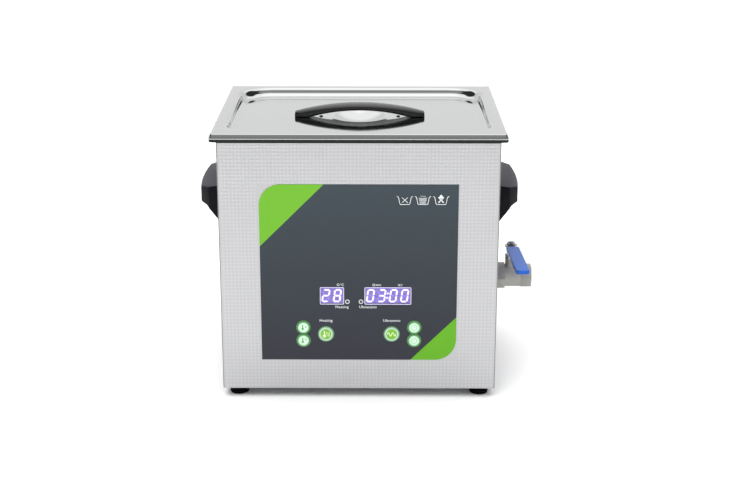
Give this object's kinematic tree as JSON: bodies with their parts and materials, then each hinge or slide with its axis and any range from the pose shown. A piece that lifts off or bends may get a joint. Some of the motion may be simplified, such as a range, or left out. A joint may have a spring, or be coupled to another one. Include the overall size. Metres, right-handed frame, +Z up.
{
  "type": "ultrasonic cleaner",
  "caption": "Bench-top ultrasonic cleaner with a steel tank, lift-off lid with bow handle, front panel with displays and buttons, side handles and a ball-valve drain.",
  "frame": {"origin": "on the surface the feet stand on, in the middle of the whole footprint including the side handle on the left and the drain valve on the right; the case's own middle is 11.1 mm to the left of it", "axes": "+Z up, -Y towards the control panel, +X towards the drain valve"},
  "size_m": [0.4092, 0.281, 0.3325],
  "materials": {
    "linen_steel": "embossed all over with a fine dimple pattern",
    "panel_steel": "brushed",
    "base_steel": "galvanised",
    "foot_rubber": "matte",
    "screw_steel": "bright plated",
    "tank_steel": "satin drawn steel",
    "edging_rubber": "smooth",
    "pipe_steel": "satin",
    "horn_aluminium": "turned",
    "ring_ceramic": null,
    "tail_steel": "turned",
    "bolt_steel": "blackened",
    "heater_silicone": "orange silicone sheet",
    "thermostat_metal": "pressed cup",
    "valve_steel": "cast and bead-blasted",
    "nut_steel": "machined",
    "seat_white": "waxy",
    "ball_steel": "polished",
    "lever_steel": "pressed",
    "sleeve_blue": "dipped soft sleeve",
    "panel_print": "printed slate grey with two green corners",
    "window_clear": "smoked clear",
    "display_face": "lit violet behind white digits",
    "lamp_lens": "milky",
    "board_green": "solder mask",
    "switch_black": "moulded",
    "spacer_brass": "turned",
    "sink_aluminium": "extruded",
    "winding_copper": "enamelled copper wire wound on a ferrite ring",
    "capacitor_sleeve": "shrunk sleeve",
    "wire_insulation": "smooth",
    "grip_plastic": "fine moulded grain",
    "lid_steel": "polished",
    "bow_plastic": "satin moulded",
    "inlet_plastic": "moulded",
    "pin_brass": "nickel plated",
    "rocker_plastic": "moulded",
    "fan_plastic": "moulded",
    "guard_wire": "bright plated wire",
    "cap_mint": "pale translucent cap",
    "cap_green": "bright green translucent cap"
  },
  "bodies": {
    "case": {"housing_wrap": "linen_steel", "rear_panel": "panel_steel", "base_plate": "base_steel", "feet": "foot_rubber", "foot_screws": "screw_steel", "case_screws": "screw_steel", "tank": "tank_steel", "rim_gasket": "edging_rubber", "drain_spud": "pipe_steel", "drain_elbow": "pipe_steel", "transducer_heads": "horn_aluminium", "piezo_rings": "ring_ceramic", "transducer_tails": "tail_steel", "transducer_bolts": "bolt_steel", "heater_pads": "heater_silicone", "thermal_cutout": "thermostat_metal", "bulkhead_nut": "valve_steel", "valve_body": "valve_steel", "valve_end": "valve_steel", "valve_seats": "seat_white", "gland_nut": "nut_steel", "control_overlay": "panel_print", "display_windows": "window_clear", "display_modules": "display_face", "indicator_leds": "lamp_lens", "control_board": "board_green", "tact_switches": "switch_black", "board_standoffs": "spacer_brass", "board_screws": "screw_steel", "power_board": "board_green", "heat_sink": "sink_aluminium", "transformer": "winding_copper", "capacitors": "capacitor_sleeve", "wiring": "wire_insulation", "handle_left": "grip_plastic", "handle_right": "grip_plastic", "handle_screws": "screw_steel", "mains_inlet": "inlet_plastic", "inlet_pins": "pin_brass", "rocker_bezel": "inlet_plastic", "fan_frame": "fan_plastic", "fan_guard": "guard_wire", "fan_screws": "screw_steel"},
    "lid": {"lid_pan": "lid_steel", "lid_handle": "bow_plastic", "lid_handle_screws": "screw_steel"},
    "drain_lever": {"valve_ball": "ball_steel", "valve_stem": "nut_steel", "valve_lever": "lever_steel", "lever_grip": "sleeve_blue", "lever_nut": "nut_steel"},
    "button_temp_up": {"button_temp_up": "cap_mint"},
    "button_temp_down": {"button_temp_down": "cap_mint"},
    "button_heating": {"button_heating": "cap_green"},
    "button_ultrasonic": {"button_ultrasonic": "cap_green"},
    "button_time_up": {"button_time_up": "cap_mint"},
    "button_time_down": {"button_time_down": "cap_mint"},
    "rocker": {"rocker": "rocker_plastic"},
    "fuse_drawer": {"fuse_drawer": "inlet_plastic"},
    "fan_rotor": {"fan_rotor": "fan_plastic"}
  },
  "joints": [
    {"name": "lid_lift", "type": "slide", "parent": "case", "child": "lid", "axis": [0, 0, 1], "range_m": [0, 0.15]},
    {"name": "drain_lever_turn", "type": "hinge", "parent": "case", "child": "drain_lever", "pos_m": [0.1789, 0, 0.1105], "axis": [0, 0, 1], "range_deg": [0, 88]},
    {"name": "button_temp_up_press", "type": "slide", "parent": "case", "child": "button_temp_up", "axis": [0, 1, 0], "range_m": [0, 0.0005], "stiffness_N_per_m": 1500, "springref_m": -0.0006},
    {"name": "button_temp_down_press", "type": "slide", "parent": "case", "child": "button_temp_down", "axis": [0, 1, 0], "range_m": [0, 0.0005], "stiffness_N_per_m": 1500, "springref_m": -0.0006},
    {"name": "button_heating_press", "type": "slide", "parent": "case", "child": "button_heating", "axis": [0, 1, 0], "range_m": [0, 0.0005], "stiffness_N_per_m": 1500, "springref_m": -0.0006},
    {"name": "button_ultrasonic_press", "type": "slide", "parent": "case", "child": "button_ultrasonic", "axis": [0, 1, 0], "range_m": [0, 0.0005], "stiffness_N_per_m": 1500, "springref_m": -0.0006},
    {"name": "button_time_up_press", "type": "slide", "parent": "case", "child": "button_time_up", "axis": [0, 1, 0], "range_m": [0, 0.0005], "stiffness_N_per_m": 1500, "springref_m": -0.0006},
    {"name": "button_time_down_press", "type": "slide", "parent": "case", "child": "button_time_down", "axis": [0, 1, 0], "range_m": [0, 0.0005], "stiffness_N_per_m": 1500, "springref_m": -0.0006},
    {"name": "rocker_tip", "type": "hinge", "parent": "case", "child": "rocker", "pos_m": [0.0839, 0.13, 0.11], "axis": [1, 0, 0], "range_deg": [-14, 0]},
    {"name": "fuse_drawer_pull", "type": "slide", "parent": "case", "child": "fuse_drawer", "axis": [0, 1, 0], "range_m": [0, 0.024]},
    {"name": "fan_spin", "type": "hinge", "parent": "case", "child": "fan_rotor", "pos_m": [-0.0911, 0.12, 0.085], "axis": [0, 1, 0], "continuous": true}
  ]
}
